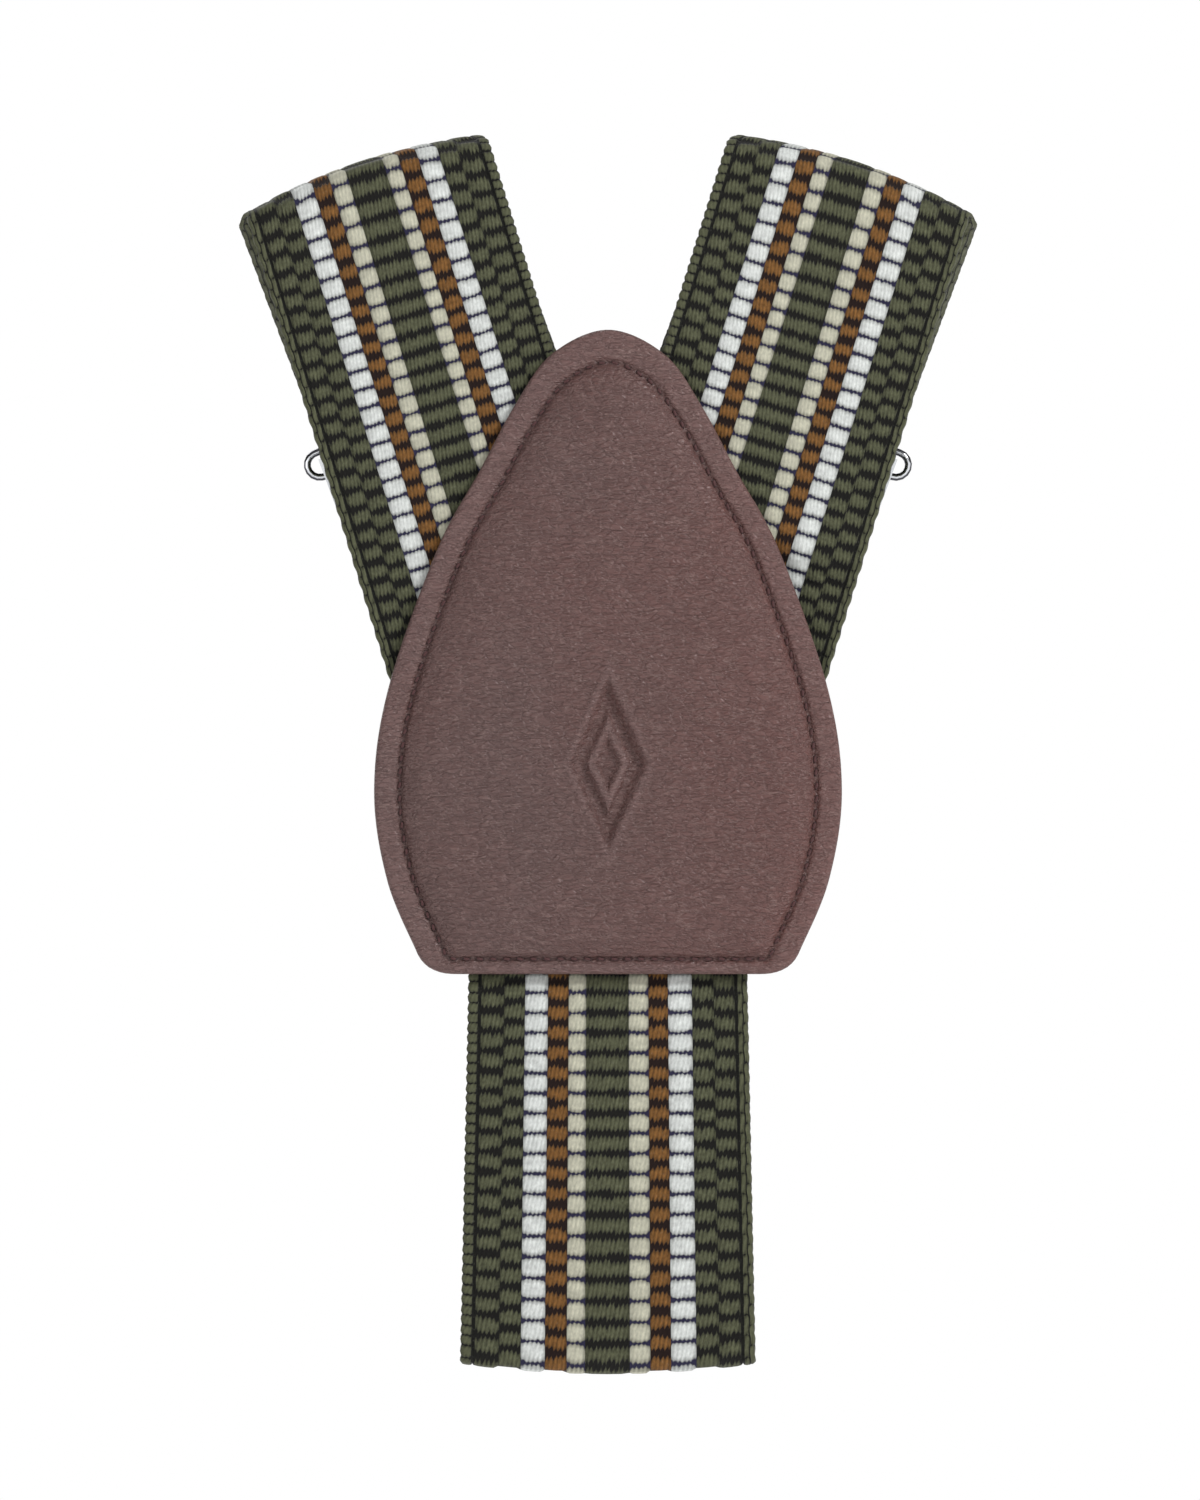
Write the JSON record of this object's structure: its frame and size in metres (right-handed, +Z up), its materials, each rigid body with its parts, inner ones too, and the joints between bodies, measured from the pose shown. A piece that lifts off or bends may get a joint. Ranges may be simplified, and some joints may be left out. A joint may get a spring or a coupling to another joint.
{
  "type": "suspenders",
  "caption": "Clip-on suspenders with a Y back: a leather cross patch, striped elastic straps folded into hanks, sliding adjusters and hinged metal clips.",
  "frame": {"origin": "midway between the two shoulder folds, level with their corners", "axes": "+X to the right of the patch face, +Y from the face to the back, +Z up to the shoulders"},
  "size_m": [0.1022, 0.0376, 0.171],
  "materials": {
    "face_leather": "fine grained, satin",
    "backing_leather": "smooth, satin",
    "padding": "felt",
    "webbing": "ribbed striped elastic weave",
    "thread": "waxed",
    "chrome": "polished, lightly worn",
    "jaw_pad": "matt, ribbed"
  },
  "bodies": {
    "harness": {"patch_face": "face_leather", "patch_padding": "padding", "patch_backing": "backing_leather", "patch_thread": "thread", "strap_left": "webbing", "strap_right": "webbing", "strap_back": "webbing", "end_tack_back": "thread", "tail_left": "webbing", "tail_right": "webbing"},
    "left_adjuster": {"adjuster_frame_left": "chrome", "adjuster_bar_left": "chrome", "tail_tack_left": "thread"},
    "right_adjuster": {"adjuster_frame_right": "chrome", "adjuster_bar_right": "chrome", "tail_tack_right": "thread"},
    "left_bail": {"bail_left": "chrome"},
    "left_clip": {"clip_plate_left": "chrome", "clip_pin_left": "chrome", "clip_pad_left": "jaw_pad"},
    "left_lever": {"clip_lever_left": "chrome"},
    "right_bail": {"bail_right": "chrome"},
    "right_clip": {"clip_plate_right": "chrome", "clip_pin_right": "chrome", "clip_pad_right": "jaw_pad"},
    "right_lever": {"clip_lever_right": "chrome"},
    "back_bail": {"bail_back": "chrome"},
    "back_clip": {"clip_plate_back": "chrome", "clip_pin_back": "chrome", "clip_pad_back": "jaw_pad"},
    "back_lever": {"clip_lever_back": "chrome"}
  },
  "joints": [
    {"name": "left_adjuster_slide", "type": "slide", "parent": "harness", "child": "left_adjuster", "axis": [-0.3486, 0, 0.9373], "range_m": [-0.0025, 0.006], "deforming": ["tail_left"]},
    {"name": "right_adjuster_slide", "type": "slide", "parent": "harness", "child": "right_adjuster", "axis": [0.3486, 0, 0.9373], "range_m": [-0.0025, 0.006], "deforming": ["tail_right"]},
    {"name": "left_bail_swing", "type": "hinge", "parent": "harness", "child": "left_bail", "pos_m": [-0.02318, 0.0283, -0.03666], "axis": [0.9373, 0, 0.3486], "range_deg": [-3, 60]},
    {"name": "left_clip_swing", "type": "hinge", "parent": "left_bail", "child": "left_clip", "pos_m": [-0.02196, 0.0283, -0.03994], "axis": [0.9373, 0, 0.3486], "range_deg": [-3, 60]},
    {"name": "left_lever_open", "type": "hinge", "parent": "left_clip", "child": "left_lever", "pos_m": [-0.01325, 0.031, -0.06338], "axis": [-0.9373, 0, -0.3486], "range_deg": [0, 95]},
    {"name": "right_bail_swing", "type": "hinge", "parent": "harness", "child": "right_bail", "pos_m": [0.02318, 0.0283, -0.03666], "axis": [0.9373, 0, -0.3486], "range_deg": [-3, 60]},
    {"name": "right_clip_swing", "type": "hinge", "parent": "right_bail", "child": "right_clip", "pos_m": [0.02196, 0.0283, -0.03994], "axis": [0.9373, 0, -0.3486], "range_deg": [-3, 60]},
    {"name": "right_lever_open", "type": "hinge", "parent": "right_clip", "child": "right_lever", "pos_m": [0.01325, 0.031, -0.06338], "axis": [-0.9373, 0, 0.3486], "range_deg": [0, 95]},
    {"name": "back_bail_swing", "type": "hinge", "parent": "harness", "child": "back_bail", "pos_m": [0, 0.0098, -0.10693], "axis": [1, 0, 0], "range_deg": [0, 60]},
    {"name": "back_clip_swing", "type": "hinge", "parent": "back_bail", "child": "back_clip", "pos_m": [0, 0.0098, -0.11043], "axis": [1, 0, 0], "range_deg": [-1, 60]},
    {"name": "back_lever_open", "type": "hinge", "parent": "back_clip", "child": "back_lever", "pos_m": [0, 0.0125, -0.13543], "axis": [-1, 0, 0], "range_deg": [0, 95]}
  ]
}
